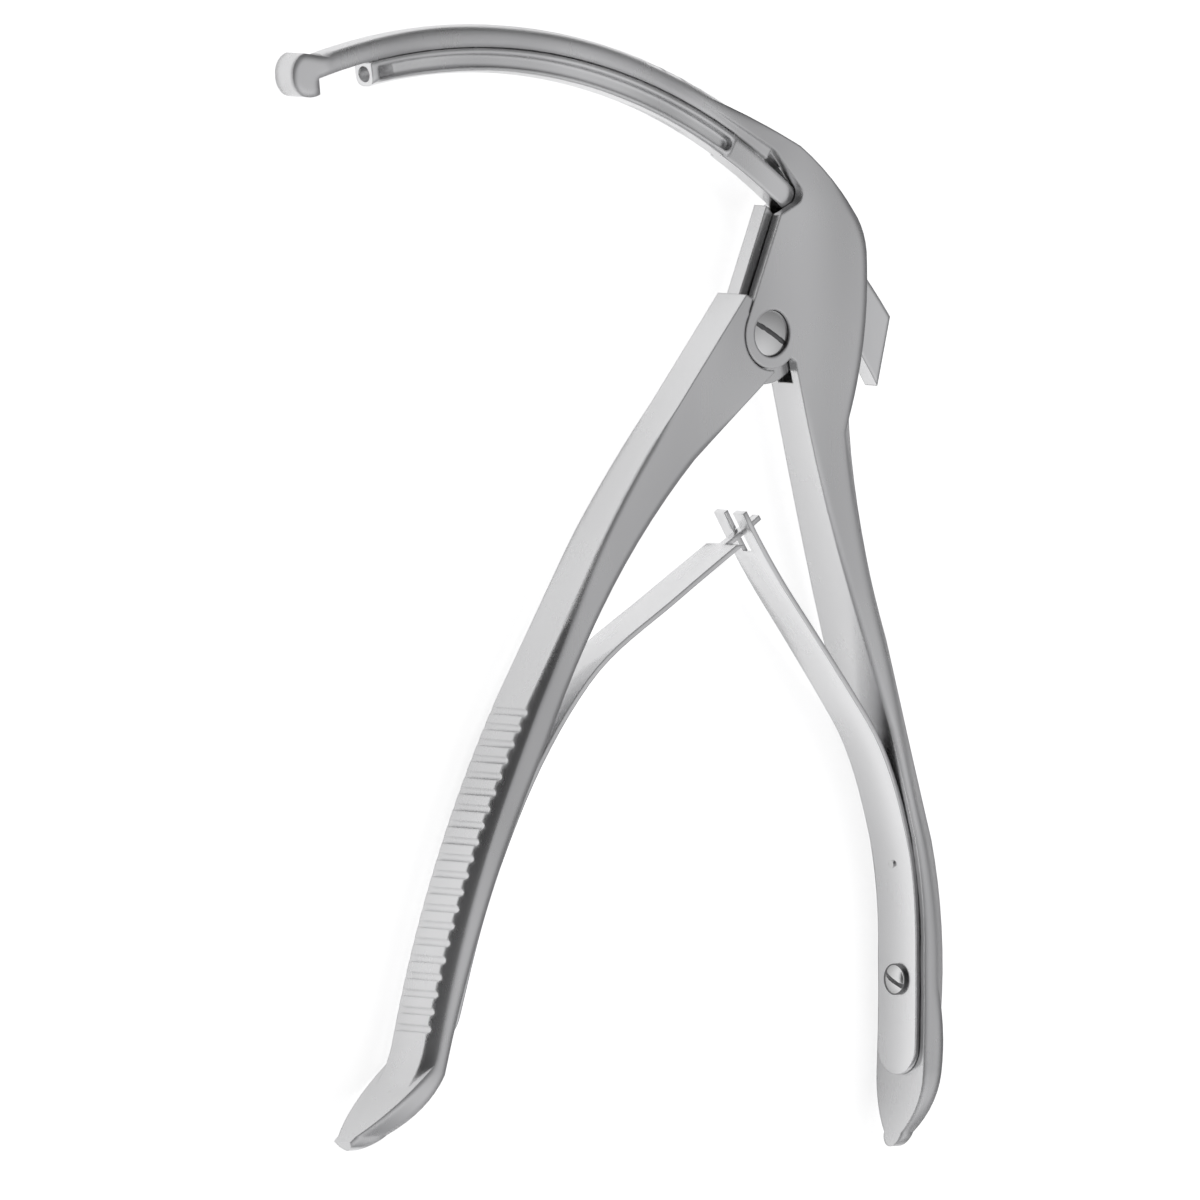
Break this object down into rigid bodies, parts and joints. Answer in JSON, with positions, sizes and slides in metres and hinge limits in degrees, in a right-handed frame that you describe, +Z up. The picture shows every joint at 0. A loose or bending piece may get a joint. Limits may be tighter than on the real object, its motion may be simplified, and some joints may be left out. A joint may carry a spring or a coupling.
{
  "type": "bone rongeur",
  "caption": "Hand-squeezed bone rongeur: a long curved arm with a hooked jaw, a hollow cutter that slides under it, two sprung handles and interlocked leaf springs.",
  "frame": {"origin": "centre of the bounding box's bottom, on the side the instrument lies on", "axes": "+Y along the instrument from the grips to the jaw, +Z up from the side it lies on, across its thickness; with +Y up the hooked arm reaches to -X"},
  "size_m": [0.1565, 0.2113, 0.013],
  "materials": {
    "forged_steel": "satin polished",
    "spring_steel": "satin polished",
    "screw_steel": "polished"
  },
  "bodies": {
    "frame": {"frame_handle": "forged_steel", "pivot_screw": "screw_steel", "right_leaf_spring": "spring_steel", "right_spring_screw": "screw_steel", "right_spring_pin": "screw_steel"},
    "working": {"working_handle": "forged_steel", "left_leaf_spring": "spring_steel", "left_spring_screw": "screw_steel", "left_spring_pin": "screw_steel"},
    "slide": {"curved_slide": "forged_steel"}
  },
  "joints": [
    {"name": "handle_pivot", "type": "hinge", "parent": "frame", "child": "working", "pos_m": [0.03736, 0.04625, 0.0065], "axis": [0, 0, 1], "range_deg": [0, 36], "stiffness_Nm_per_rad": 1.5, "springref_deg": -8.59, "deforming": ["left_leaf_spring", "right_leaf_spring"]},
    {"name": "slide_travel", "type": "hinge", "parent": "frame", "child": "slide", "pos_m": [-0.03764, -0.03075, 0.0065], "axis": [0, 0, 1], "range_deg": [0, 5.6]}
  ],
  "couplings": [
    {"joint": "slide_travel", "follows": "handle_pivot", "ratio": 0.15356}
  ]
}
